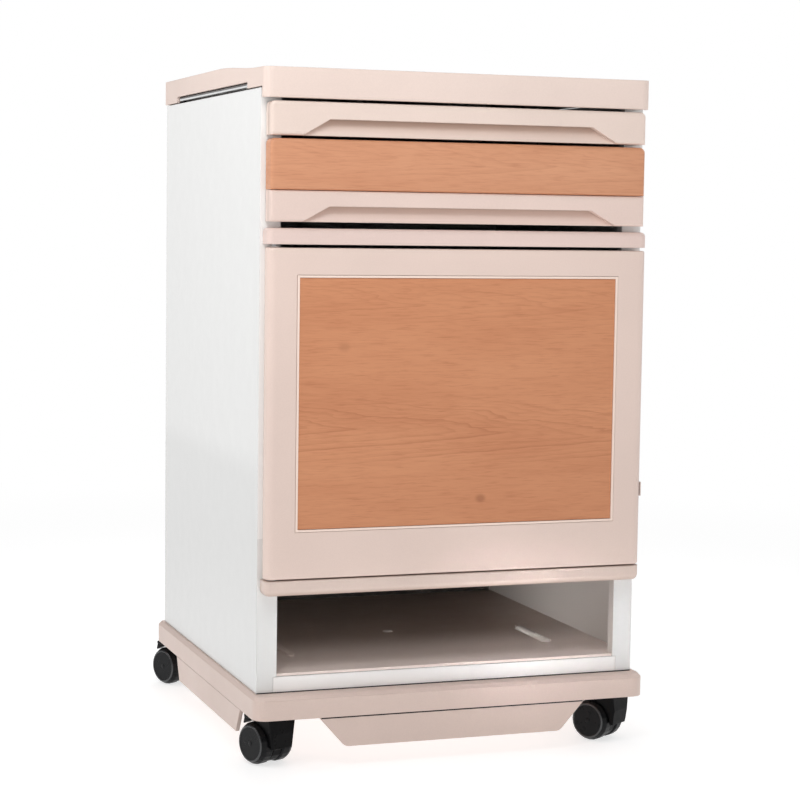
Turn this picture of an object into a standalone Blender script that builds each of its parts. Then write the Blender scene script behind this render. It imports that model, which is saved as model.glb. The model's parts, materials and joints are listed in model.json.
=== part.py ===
"""Bedside cabinet on twin-wheel casters, for a hospital ward.

Frame: metres, +Z up, the front faces -Y, X is right seen from the front.
The origin lies on the floor, below the middle of the cabinet.
"""
import bpy
import bmesh
from math import cos, hypot, pi, radians, sin
from mathutils import Matrix, Vector

# ---------------------------------------------------------------- driving sizes
GAP = 0.0004                 # clearance between pieces that touch
HALF_TOP = 0.240             # half width of the top cover
HALF_BODY = 0.239            # half width over the side panels
BASE_LEFT, BASE_RIGHT = -0.246, 0.249    # ends of the base moulding
HALF_FRONT = 0.233           # half width of the board and drawer fronts
DOOR_LEFT, DOOR_RIGHT = -0.235, 0.238
LIP_LEFT, LIP_RIGHT = -0.2355, 0.238     # ends of the two rounded lips
PULL_END = 0.2396            # outer face of the door's pull tab
BASE_FRONT, BASE_BACK = -0.243, 0.253
TOP_FRONT, TOP_BACK = -0.240, 0.251
BODY_FRONT, BODY_BACK = -0.2205, 0.241
FRONT_FACE = -0.243          # front of the board front and the drawer front
FRONT_BACK = -0.2225         # back of every front that lies over the carcass
SHEET = 0.002                # carcass sheet
WALL = 0.004                 # moulded wall of the top and the base
FLANGE = 0.0245              # front flange of a side panel, seen as a post
RETURN = 0.0145              # how far that flange turns inwards
SKIRT = 0.0045               # thickness of the aprons below the base's sides
INSIDE = HALF_BODY - SHEET   # half width between the side panels

# heights, from the floor up
BASE_LOW, BASE_EDGE, BASE_TOP = 0.061, 0.084, 0.0885
RAIL_TOP = 0.1075
TRAY_TOP = 0.111
LOW_LIP_LOW, LOW_LIP_TOP = 0.205, 0.2232
DOOR_LOW, DOOR_TOP = 0.225, 0.6052
HIGH_LIP_LOW, HIGH_LIP_TOP = 0.609, 0.6274
STRIP_LOW, STRIP_TOP = 0.6345, 0.6702
FACE_TOP = 0.7285
BOARD_LOW, BOARD_TOP = 0.732, 0.7705
FASCIA_LOW, SKIRT_LOW, TOP_SURFACE, RIM_TOP = 0.774, 0.787, 0.8085, 0.817
BODY_TOP = 0.7855

# handle scoops in the board front and the drawer strip
SCOOP_LOW_HALF, SCOOP_TOP_HALF = 0.196, 0.163
SCOOP_DEPTH, SCOOP_LIP = 0.012, 0.0035

# casters: swivel axes, trail from swivel axis to axle, wheels
STEM_LEFT, STEM_RIGHT = -0.2115, 0.2195
STEM_FRONT, STEM_REAR = -0.2053, 0.2425
TRAIL = 0.017
WHEEL_R, WHEEL_IN, WHEEL_OUT = 0.025, 0.0067, 0.023
CASTERS = (
    # name, x, y, swivel in degrees
    ("front_left", STEM_LEFT, STEM_FRONT, 22),
    ("front_right", STEM_RIGHT, STEM_FRONT, 33),
    ("rear_left", STEM_LEFT, STEM_REAR, 25.5),
    ("rear_right", STEM_RIGHT, STEM_REAR, -22),
)

# door hinge axis
HINGE_X, HINGE_Y = -0.225, -0.2320

# The sizes above are measured from the middle of the body. The casters trail
# behind it, so the whole cabinet is moved to stand over the origin at the end.
SHIFT_Y = -0.0235

# ------------------------------------------------------------- scene and materials
for old in list(bpy.data.objects):
    bpy.data.objects.remove(old, do_unlink=True)

PARTS = bpy.data.collections.new("bedside_cabinet")
CUTTERS = bpy.data.collections.new("cutters")
for group in (PARTS, CUTTERS):
    bpy.context.scene.collection.children.link(group)


def material(name, colour, roughness, metallic=0.0):
    """A plain Principled material."""
    mat = bpy.data.materials.new(name)
    mat.use_nodes = True
    shader = mat.node_tree.nodes["Principled BSDF"]
    shader.inputs["Base Color"].default_value = (*colour, 1.0)
    shader.inputs["Roughness"].default_value = roughness
    shader.inputs["Metallic"].default_value = metallic
    return mat


PINK = material("pink_abs", (0.80, 0.655, 0.585), 0.42)
WHITE = material("white_gloss", (0.80, 0.80, 0.79), 0.22)
PLASTIC = material("white_plastic", (0.80, 0.80, 0.79), 0.35)
WOOD = material("beech_laminate", (0.59, 0.262, 0.141), 0.45)
BEAD = material("pale_bead", (0.86, 0.74, 0.67), 0.4)
BLACK = material("black_plastic", (0.016, 0.016, 0.018), 0.45)
STEEL = material("steel", (0.42, 0.42, 0.43), 0.3, 1.0)
MAGNET = material("catch_plastic", (0.55, 0.55, 0.55), 0.5)


# ---------------------------------------------------------------------- helpers
def add(name, mesh, mat, location=(0, 0, 0), rotation=(0, 0, 0), group=PARTS):
    """Link a mesh as a named object."""
    obj = bpy.data.objects.new(name, mesh)
    obj.location = location
    obj.rotation_euler = rotation
    group.objects.link(obj)
    if group is CUTTERS:
        obj.hide_render = True
        obj.display_type = "WIRE"
    else:
        mesh.materials.append(mat)
    return obj


def smooth(obj, angle=40):
    """Shade round, with creases kept sharp."""
    obj.data.shade_smooth()
    obj.data.set_sharp_from_angle(angle=radians(angle))
    return obj


def along(axis, **level):
    """Pick edges parallel to an axis, or lying at one level such as z=top.

    along("z") is every upright edge; along("", z=0.5) is the outline at z=0.5.
    """
    index = "xyz".find(axis) if axis else -1

    def pick(edge):
        a, b = (v.co for v in edge.verts)
        flat = all(
            abs(v["xyz".index(k)] - value) < 1e-6
            for k, value in level.items() for v in (a, b)
        )
        if index < 0:
            return flat
        moves = [abs(a[i] - b[i]) > 1e-6 for i in range(3)]
        return flat and moves[index] and sum(moves) == 1

    return pick


def block(name, low, high, mat=None, rounds=(), group=PARTS):
    """A box between two corners; rounds lists (edge picker, radius, segments)."""
    low, high = Vector(low), Vector(high)
    centre, size = (low + high) / 2, high - low
    bm = bmesh.new()
    bmesh.ops.create_cube(bm, size=1.0)
    bmesh.ops.scale(bm, vec=size, verts=bm.verts)
    bmesh.ops.translate(bm, vec=centre, verts=bm.verts)
    for pick, radius, segments in rounds:
        edges = [e for e in bm.edges if pick(e)]
        bmesh.ops.bevel(bm, geom=edges, offset=radius, segments=segments,
                        profile=0.5, affect="EDGES", clamp_overlap=True)
    bmesh.ops.translate(bm, vec=-centre, verts=bm.verts)
    mesh = bpy.data.meshes.new(name)
    bm.to_mesh(mesh)
    bm.free()
    obj = add(name, mesh, mat, location=centre, group=group)
    return smooth(obj) if rounds and group is PARTS else obj


# How a flat outline's own x, y and depth lie in the world.
PLANES = {
    "XY": Matrix(((1, 0, 0), (0, 1, 0), (0, 0, 1))),
    "XZ": Matrix(((1, 0, 0), (0, 0, -1), (0, 1, 0))),
    "YZ": Matrix(((0, 0, 1), (1, 0, 0), (0, 1, 0))),
}


def slab(name, points, plane, start, end, mat=None, group=PARTS):
    """A flat outline, drawn in a plane and thickened from start to end."""
    curve = bpy.data.curves.new(name, "CURVE")
    curve.dimensions = "2D"
    curve.fill_mode = "BOTH"
    curve.extrude = abs(end - start) / 2
    spline = curve.splines.new("POLY")
    spline.points.add(len(points) - 1)
    for point, (x, y) in zip(spline.points, points):
        point.co = (x, y, 0, 1)
    spline.use_cyclic_u = True
    normal = {"XY": Vector((0, 0, 1)), "XZ": Vector((0, 1, 0)), "YZ": Vector((1, 0, 0))}[plane]
    shape = add(name + "_outline", curve, mat, location=normal * (start + end) / 2, group=group)
    shape.rotation_euler = PLANES[plane].to_euler()
    return to_mesh(shape, name, mat, group)


def tube(name, points, radius, mat=None, group=PARTS, sides=2):
    """A round rod along points, with closed ends."""
    curve = bpy.data.curves.new(name, "CURVE")
    curve.dimensions = "3D"
    curve.bevel_depth = radius
    curve.bevel_resolution = sides
    curve.use_fill_caps = True
    spline = curve.splines.new("POLY")
    spline.points.add(len(points) - 1)
    for point, place in zip(spline.points, points):
        point.co = (*place, 1)
    shape = add(name + "_path", curve, mat, group=group)
    return smooth(to_mesh(shape, name, mat, group), 50)


def to_mesh(shape, name, mat, group):
    """Turn a curve object into a closed mesh object in the same place."""
    bpy.context.view_layer.update()
    seen = shape.evaluated_get(bpy.context.evaluated_depsgraph_get())
    mesh = bpy.data.meshes.new_from_object(seen)
    place = shape.matrix_world.copy()
    bpy.data.objects.remove(shape, do_unlink=True)
    bm = bmesh.new()
    bm.from_mesh(mesh)
    bmesh.ops.remove_doubles(bm, verts=bm.verts, dist=1e-6)
    bmesh.ops.recalc_face_normals(bm, faces=bm.faces)
    bm.to_mesh(mesh)
    bm.free()
    mesh.materials.clear()
    obj = add(name, mesh, mat, group=group)
    obj.matrix_world = place
    return obj


def turned(name, profile, steps, mat=None, location=(0, 0, 0), rotation=(0, 0, 0), group=PARTS):
    """A turned piece about its own Z; profile is (radius, z) from top to bottom outside."""
    mesh = bpy.data.meshes.new(name)
    edges = [(i, i + 1) for i in range(len(profile) - 1)]
    if profile[0][0] > 0:
        edges.append((len(profile) - 1, 0))
    mesh.from_pydata([(r, 0, z) for r, z in profile], edges, [])
    obj = add(name, mesh, mat, location, rotation, group)
    screw = obj.modifiers.new("turn", "SCREW")
    screw.axis = "Z"
    screw.angle = 2 * pi
    screw.steps = screw.render_steps = steps
    screw.use_merge_vertices = True
    screw.merge_threshold = 0.00001
    screw.use_smooth_shade = False
    return obj


def cylinder(name, radius, start, end, sides=16, mat=None, group=PARTS):
    """A cylinder between two points."""
    start, end = Vector(start), Vector(end)
    bm = bmesh.new()
    bmesh.ops.create_cone(bm, cap_ends=True, segments=sides, radius1=radius,
                          radius2=radius, depth=(end - start).length)
    mesh = bpy.data.meshes.new(name)
    bm.to_mesh(mesh)
    bm.free()
    obj = add(name, mesh, mat, location=(start + end) / 2, group=group)
    obj.rotation_euler = (end - start).to_track_quat("Z", "Y").to_euler()
    return smooth(obj) if group is PARTS else obj


def change(obj, other, operation):
    """Boolean obj with another object, which then belongs to the cutters."""
    mod = obj.modifiers.new(operation.lower(), "BOOLEAN")
    mod.operation = operation
    mod.solver = "EXACT"
    mod.object = other
    return obj


def cut(obj, *cutters):
    for cutter in cutters:
        change(obj, cutter, "DIFFERENCE")
    return obj


def join(obj, *others):
    for other in others:
        change(obj, other, "UNION")
    return obj


def cut_box(name, low, high, rounds=()):
    return block("cut_" + name, low, high, rounds=rounds, group=CUTTERS)


def pivot(name, location):
    """An empty on a joint's axis; a moving body's pieces hang on it."""
    empty = bpy.data.objects.new(name, None)
    empty.location = location
    empty.empty_display_size = 0.02
    PARTS.objects.link(empty)
    return empty


def hang(parent, *pieces):
    """Parent pieces to a pivot without moving them."""
    bpy.context.view_layer.update()
    for piece in pieces:
        piece.parent = parent
        piece.matrix_parent_inverse = parent.matrix_world.inverted()


def arc(cx, cy, radius, start, end, steps):
    """Points on an arc, angles in degrees."""
    angles = [radians(start + (end - start) * i / steps) for i in range(steps + 1)]
    return [(cx + radius * cos(a), cy + radius * sin(a)) for a in angles]


# -------------------------------------------------------------------- top cover
def make_top_cover():
    """Moulded top: front fascia, side skirts and a rim that fades out to the front."""
    step_y = TOP_FRONT + 0.011
    cover = block(
        "top_cover", (-HALF_TOP, TOP_FRONT, FASCIA_LOW), (HALF_TOP, TOP_BACK, RIM_TOP), PINK,
        rounds=((along("z", y=TOP_FRONT), 0.010, 4), (along("z", y=TOP_BACK), 0.006, 3),
                (along("", z=FASCIA_LOW), 0.0008, 1)))
    skirt = cut_box("skirt_step", (-0.3, step_y, 0.70), (0.3, 0.3, SKIRT_LOW))
    hollow = cut_box("top_hollow", (-HALF_TOP + WALL, TOP_FRONT + WALL, 0.70),
                     (HALF_TOP - WALL, TOP_BACK - WALL, TOP_SURFACE - WALL))
    basin = cut_box("top_basin", (-HALF_TOP + 0.013, -0.30, TOP_SURFACE),
                    (HALF_TOP - 0.013, TOP_BACK - 0.013, 0.85),
                    rounds=((along("z"), 0.008, 4),))
    # The rim rises on a smooth step between the front corner and mid depth.
    front, back, count = -0.222, -0.036, 9
    rise = []
    for i in range(count + 1):
        t = i / count
        rise.append((front + (back - front) * t,
                     TOP_SURFACE + (RIM_TOP - TOP_SURFACE) * t * t * (3 - 2 * t)))
    fade = slab("cut_rim_fade", [(-0.30, TOP_SURFACE)] + rise + [(back, 0.85), (-0.30, 0.85)],
                "YZ", -0.3, 0.3, group=CUTTERS)
    cut(cover, skirt, hollow, basin, fade)
    for side in (-1, 1):
        cut(cover, cut_box(f"towel_slot_{'left' if side < 0 else 'right'}",
                           (min(side * 0.25, side * 0.23), -0.166, 0.70),
                           (max(side * 0.25, side * 0.23), 0.179, 0.7945)))
    return cover


# ---------------------------------------------------------------------- carcass
def make_side_panel(side):
    """Folded sheet: outer wall, front flange with a return, back flange."""
    name = "left_side_panel" if side < 0 else "right_side_panel"
    outer, inner = HALF_BODY, HALF_BODY - FLANGE
    points = [
        (outer, BODY_FRONT), (inner, BODY_FRONT), (inner, BODY_FRONT + RETURN),
        (inner + SHEET, BODY_FRONT + RETURN), (inner + SHEET, BODY_FRONT + SHEET),
        (outer - SHEET, BODY_FRONT + SHEET), (outer - SHEET, BODY_BACK - SHEET),
        (outer - 0.016, BODY_BACK - SHEET), (outer - 0.016, BODY_BACK), (outer, BODY_BACK),
    ]
    panel = slab(name, [(side * x, y) for x, y in points], "XY",
                 BASE_TOP + GAP, BODY_TOP, WHITE)
    # The bottom front rail butts into a notch in the flange.
    notch_x = sorted((side * 0.200, side * 0.2188))
    return cut(panel, cut_box(name + "_notch", (notch_x[0], -0.23, 0.08),
                              (notch_x[1], -0.1, RAIL_TOP + GAP)))


def make_back_panel():
    half = HALF_TOP - WALL - GAP
    return block("back_panel", (-half, BODY_BACK - SHEET - 0.0024, BASE_TOP + GAP),
                 (half, BODY_BACK - SHEET - GAP, TOP_SURFACE - WALL - GAP), WHITE)


def make_bottom_front_rail():
    """L-section rail below the open compartment."""
    half = 0.2188 - GAP
    rail = block("bottom_front_rail", (-half, BODY_FRONT, BASE_TOP + GAP),
                 (half, BODY_FRONT + 0.020, RAIL_TOP), WHITE)
    hollow = cut_box("rail", (-0.3, BODY_FRONT + SHEET, 0.05), (0.3, 0.0, RAIL_TOP - SHEET))
    return cut(rail, hollow)


def make_top_cross_rail():
    """L-section rail between the side panels, behind the fascia."""
    half = HALF_TOP - WALL - GAP
    low, high = (-half, -0.205, 0.7760), (half, -0.185, TOP_SURFACE - WALL - GAP)
    rail = block("top_cross_rail", low, high, WHITE)
    hollow = cut_box("cross_rail", (-0.3, low[1] + SHEET, 0.70), (0.3, 0.0, high[2] - SHEET))
    return cut(rail, hollow)


def notched_board(name, front, low, high, mat):
    """A board that reaches the front between the posts' returns."""
    half, neck = INSIDE - GAP, HALF_BODY - FLANGE - GAP
    shoulder = BODY_FRONT + RETURN + GAP
    board = block(name, (-half, front, low), (half, 0.2355, high), mat)
    for side in (-1, 1):
        x = sorted((side * neck, side * 0.26))
        cut(board, cut_box(f"{name}_notch_{'left' if side < 0 else 'right'}",
                           (x[0], -0.26, low - 0.01), (x[1], shoulder, high + 0.01)))
    return board


def make_bottom_tray():
    """Moulded floor of the open compartment, with ribs below and two above."""
    tray = notched_board("bottom_tray", -0.2190, RAIL_TOP + GAP, TRAY_TOP, PINK)
    for i, x in enumerate((-0.18, -0.06, 0.06, 0.18)):
        join(tray, block(f"tray_rib_{i}", (x - 0.0015, -0.195, BASE_TOP + GAP),
                         (x + 0.0015, 0.22, TRAY_TOP - 0.001), group=CUTTERS))
    for side in (-1, 1):
        x = side * 0.1693
        join(tray, block(f"tray_bead_{side}", (x - 0.004, -0.130, TRAY_TOP - 0.001),
                         (x + 0.004, -0.026, TRAY_TOP + 0.002),
                         rounds=((along("z"), 0.0036, 3),), group=CUTTERS))
    return tray


def make_partition(name, low, front):
    """Folded sheet floor between two lips."""
    return notched_board(name, front, low, low + 0.003, PLASTIC)


def make_lip(name, low, high, soft):
    """Rounded pink rail on the front edge of a partition."""
    back = BODY_FRONT - GAP
    lip = block(name, (LIP_LEFT, -0.2415, low), (LIP_RIGHT, back, high), PINK,
                rounds=((along("z", y=-0.2415), 0.007, 4),
                        (lambda e: along("", z=soft[0])(e) and not along("", y=back)(e), soft[1], 3)))
    return lip


def make_cabinet_shelf():
    """Loose shelf with turned-down side edges."""
    shelf = block("cabinet_shelf", (-INSIDE + GAP, -0.190, 0.392), (INSIDE - GAP, 0.2335, 0.412),
                  PLASTIC, rounds=((along("x", z=0.412, y=-0.190), 0.002, 2),))
    return cut(shelf, cut_box("shelf_hollow", (-0.2200, -0.185, 0.38), (0.2200, 0.24, 0.4095)))


# ------------------------------------------------------------------------- base
def make_base():
    """Moulded base with a bevelled top edge, hollow below, a boss over each caster."""
    base = block("base_frame", (BASE_LEFT, BASE_FRONT, BASE_LOW),
                 (BASE_RIGHT, BASE_BACK, BASE_TOP), PINK,
                 rounds=((along("z", y=BASE_FRONT), 0.016, 5),
                         (along("z", y=BASE_BACK), 0.006, 3),
                         (along("", z=BASE_TOP), BASE_TOP - BASE_EDGE, 1)))
    hollow = cut_box("base_hollow", (BASE_LEFT + WALL, BASE_FRONT + WALL, 0.0),
                     (BASE_RIGHT - WALL, BASE_BACK - WALL, BASE_TOP - WALL),
                     rounds=((along("z", y=BASE_FRONT + WALL), 0.012, 4),
                             (along("z", y=BASE_BACK - WALL), 0.003, 2)))
    cut(base, hollow)
    for i, y in enumerate((-0.08, 0.08)):
        join(base, block(f"base_rib_{i}", (BASE_LEFT + 0.002, y - 0.0015, BASE_LOW + 0.004),
                         (BASE_RIGHT - 0.002, y + 0.0015, BASE_TOP - 0.002), group=CUTTERS))
    for name, x, y, _ in CASTERS:
        join(base, cylinder(f"boss_{name}", 0.010, (x, y, BASE_LOW), (x, y, BASE_TOP - 0.002),
                            16, group=CUTTERS))
    for name, x, y, _ in CASTERS:
        cut(base, cylinder(f"cut_socket_{name}", 0.0054, (x, y, 0.04), (x, y, 0.0828),
                           12, group=CUTTERS))
    return base


def make_front_skirt():
    """Apron with slanted ends and rounded lower corners."""
    top, low, corner = BASE_LOW - GAP, 0.025, 0.010
    tilt = 45
    left = arc(-0.132, low + corner, corner, 180 + tilt, 270, 4)
    right = [(-x, z) for x, z in reversed(left)]
    return slab("front_skirt", [(-0.168, top)] + left + right + [(0.168, top)],
                "XZ", -0.2415, -0.2375, PINK)


def make_side_skirt(side):
    """Apron under the side of the base, flush with it."""
    top, low = BASE_LOW - GAP, 0.031
    points = [(-0.176, top), (-0.158, low), (0.126, low), (0.141, top)]
    if side < 0:
        return slab("left_skirt", points, "YZ", BASE_LEFT, BASE_LEFT + SKIRT, PINK)
    return slab("right_skirt", points, "YZ", BASE_RIGHT - SKIRT, BASE_RIGHT, PINK)


# --------------------------------------------------------------- board and drawer
def scoop_cutter(name, low, high):
    """Handle scoop: a trapezoid from the front, open below, deep at its top."""
    bm = bmesh.new()
    bmesh.ops.create_cube(bm, size=1.0)
    slope = (SCOOP_LOW_HALF - SCOOP_TOP_HALF) / (high - low)
    for v in bm.verts:
        z = high if v.co.z > 0 else low - 0.003
        half = SCOOP_TOP_HALF + (high - z) * slope
        depth = SCOOP_DEPTH if v.co.z > 0 else SCOOP_LIP
        y = FRONT_FACE + depth if v.co.y > 0 else FRONT_FACE - 0.01
        v.co = ((half if v.co.x > 0 else -half), y, z)
    mesh = bpy.data.meshes.new(name)
    bm.to_mesh(mesh)
    bm.free()
    return add(name, mesh, None, group=CUTTERS)


def front_rounds(high, corners):
    """Rounded upper corners, then softened edges all round the front face."""
    rounds = []
    if corners:
        rounds.append((along("y", z=high), 0.006, 4))
    rounds.append((along("", y=FRONT_FACE), 0.004, 3))
    return tuple(rounds)


def make_dining_board():
    """Sliding board with its moulded front."""
    board = slab("dining_board",
                 [(-0.211, FRONT_BACK + GAP), (0.211, FRONT_BACK + GAP),
                  (0.211, 0.205), (0.205, 0.211), (-0.205, 0.211), (-0.211, 0.205)],
                 "XY", 0.7440, 0.7560, PLASTIC)
    front = block("dining_board_front", (-HALF_FRONT, FRONT_FACE, BOARD_LOW),
                  (HALF_FRONT, FRONT_BACK, BOARD_TOP), PINK,
                  rounds=front_rounds(BOARD_TOP, True))
    cut(front, scoop_cutter("cut_board_scoop", BOARD_LOW, BOARD_LOW + 0.019))
    return board, front


def make_board_guide(side):
    """Grooved plastic runner, screwed to the side panel."""
    name = "board_guide_left" if side < 0 else "board_guide_right"
    outer, inner = side * (INSIDE - GAP), side * 0.2060
    guide = block(name, (min(outer, inner), -0.2000, 0.7380),
                  (max(outer, inner), 0.2300, 0.7620), PLASTIC)
    groove = sorted((side * 0.2117, side * 0.19))
    return cut(guide, cut_box(name, (groove[0], -0.25, 0.7435), (groove[1], 0.2150, 0.7565)))


def make_drawer():
    """Tub, wood-faced front and the handle strip below it."""
    tub = block("drawer_box", (-0.2005, FRONT_BACK + GAP, 0.6400), (0.2005, 0.196, 0.7220), PLASTIC,
                rounds=((along("z"), 0.004, 2),))
    cut(tub, cut_box("tub", (-0.1975, FRONT_BACK + 0.0034, 0.6430), (0.1975, 0.193, 0.75),
                     rounds=((along("z"), 0.006, 2),)))
    face = block("drawer_face", (-HALF_FRONT, FRONT_FACE, STRIP_TOP + GAP),
                 (HALF_FRONT, FRONT_BACK, FACE_TOP), WOOD,
                 rounds=front_rounds(FACE_TOP, True))
    strip = block("drawer_handle_strip", (-HALF_FRONT, FRONT_FACE, STRIP_LOW),
                  (HALF_FRONT, FRONT_BACK, STRIP_TOP), PINK,
                  rounds=front_rounds(STRIP_TOP, False))
    cut(strip, scoop_cutter("cut_strip_scoop", STRIP_LOW, STRIP_LOW + 0.018))
    return tub, face, strip


def make_drawer_slide(side):
    """Cabinet member: a channel on a spacer that clears the post's return."""
    name = "drawer_slide_left" if side < 0 else "drawer_slide_right"
    points = [(0.2366, 0.6780), (0.2366, 0.6920), (0.2110, 0.6920), (0.2110, 0.6970),
              (0.2040, 0.6970), (0.2040, 0.6955), (0.2095, 0.6955), (0.2095, 0.6745),
              (0.2040, 0.6745), (0.2040, 0.6730), (0.2110, 0.6730), (0.2110, 0.6780)]
    return slab(name, [(side * x, z) for x, z in points], "XZ", -0.2040, 0.1960, STEEL)


def make_drawer_runner(side):
    """Drawer member: a channel that runs inside the cabinet member."""
    name = "drawer_runner_left" if side < 0 else "drawer_runner_right"
    points = [(0.2009, 0.6760), (0.2085, 0.6760), (0.2085, 0.6775), (0.2024, 0.6775),
              (0.2024, 0.6925), (0.2085, 0.6925), (0.2085, 0.6940), (0.2009, 0.6940)]
    return slab(name, [(side * x, z) for x, z in points], "XZ", -0.2180, 0.1900, STEEL)


# ------------------------------------------------------------------------- door
def make_door():
    """Moulded frame, wood panel held by a pale bead, and a liner inside."""
    face, back = -0.2425, -0.2215
    frame = block("door_frame", (DOOR_LEFT, face, DOOR_LOW), (DOOR_RIGHT, back, DOOR_TOP), PINK,
                  rounds=((along("z"), 0.009, 5),
                          (lambda e: along("", z=DOOR_LOW)(e) or along("", z=DOOR_TOP)(e), 0.002, 2)))
    half, low, high = 0.2005, 0.2790, 0.5745
    pocket = cut_box("door_pocket", (-half, -0.26, low), (half, face + 0.0045, high))
    hollow = cut_box("door_hollow", (-0.195, face + 0.0085, low + 0.005),
                     (0.195, -0.20, high - 0.005))
    rebate = cut_box("door_rebate", (-0.205, back - 0.0022, low - 0.006),
                     (0.205, -0.20, high + 0.006))
    holes = [cylinder(f"cut_pin_{z:.2f}", 0.0029, (HINGE_X, HINGE_Y, z),
                      (HINGE_X, HINGE_Y, z + 0.030), 12, group=CUTTERS)
             for z in (DOOR_LOW - 0.015, DOOR_TOP - 0.015)]
    cut(frame, pocket, hollow, rebate, *holes)
    bead = block("door_bead", (-half + GAP, face - 0.0003, low + GAP),
                 (half - GAP, face + 0.0041, high - GAP), BEAD)
    cut(bead, cut_box("bead", (-half + 0.0030, -0.26, low + 0.0030),
                      (half - 0.0030, -0.20, high - 0.0030)))
    panel = block("door_wood_panel", (-half + 0.0034, face + 0.0009, low + 0.0034),
                  (half - 0.0034, face + 0.0041, high - 0.0034), WOOD)
    liner = block("door_liner", (-0.2046, back - 0.0018, low - 0.0056),
                  (0.2046, back, high + 0.0056), PLASTIC)
    pull = block("door_pull", (DOOR_RIGHT + GAP, -0.2385, 0.308), (PULL_END, -0.2255, 0.325), PINK,
                 rounds=((along("", x=PULL_END), 0.0006, 1),))
    strike = block("strike_plate", (0.1930, -0.2210, 0.4350), (0.2070, -0.2198, 0.4650), STEEL)
    pins = [cylinder(f"door_pin_{end}", 0.0025, (HINGE_X, HINGE_Y, z),
                     (HINGE_X, HINGE_Y, z + 0.022), 12, STEEL)
            for end, z in (("bottom", DOOR_LOW - 0.0090), ("top", DOOR_TOP - 0.0130))]
    return frame, bead, panel, liner, pull, strike, *pins


def make_magnet_catch():
    return block("magnet_catch", (0.1900, -0.2192, 0.4320), (0.2141, -0.1980, 0.4680), MAGNET,
                 rounds=((along("y"), 0.002, 2),))


# ------------------------------------------------------------------ towel rails
def make_towel_rail(side):
    """U-shaped rod that draws out of the side, with turned-in ends as stops."""
    name = "towel_rail_left" if side < 0 else "towel_rail_right"
    radius, bend, z = 0.0026, 0.009, 0.7905
    outer, inner, front, back, foot = 0.2372, 0.098, -0.161, 0.174, 0.018
    path = [(inner, front + foot)]
    path += arc(inner + bend, front + bend, bend, 180, 270, 4)
    path += arc(outer - bend, front + bend, bend, 270, 360, 5)
    path += arc(outer - bend, back - bend, bend, 0, 90, 5)
    path += arc(inner + bend, back - bend, bend, 90, 180, 4)
    path += [(inner, back - foot)]
    return tube(name, [(side * x, y, z) for x, y in path], radius, STEEL)


def make_rail_guide(side):
    """Bar below the top that the rail's two arms slide through."""
    name = "rail_guide_left" if side < 0 else "rail_guide_right"
    x = sorted((side * 0.226, side * 0.200))
    guide = block(name, (x[0], -0.172, 0.7845), (x[1], 0.184, TOP_SURFACE - WALL - GAP), BLACK)
    for end, y in (("front", -0.161), ("back", 0.174)):
        cut(guide, cylinder(f"cut_{name}_{end}", 0.0032, (side * 0.19, y, 0.7905),
                            (side * 0.24, y, 0.7905), 12, group=CUTTERS))
    return guide


# ---------------------------------------------------------------------- casters
def place_caster_piece(piece, x, y, swivel):
    """Turn a piece modelled about the swivel axis, trail along +Y, into place."""
    bpy.context.view_layer.update()
    move = Matrix.Translation((x, y, 0)) @ Matrix.Rotation(radians(swivel), 4, "Z")
    piece.matrix_world = move @ piece.matrix_world
    return piece


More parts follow.
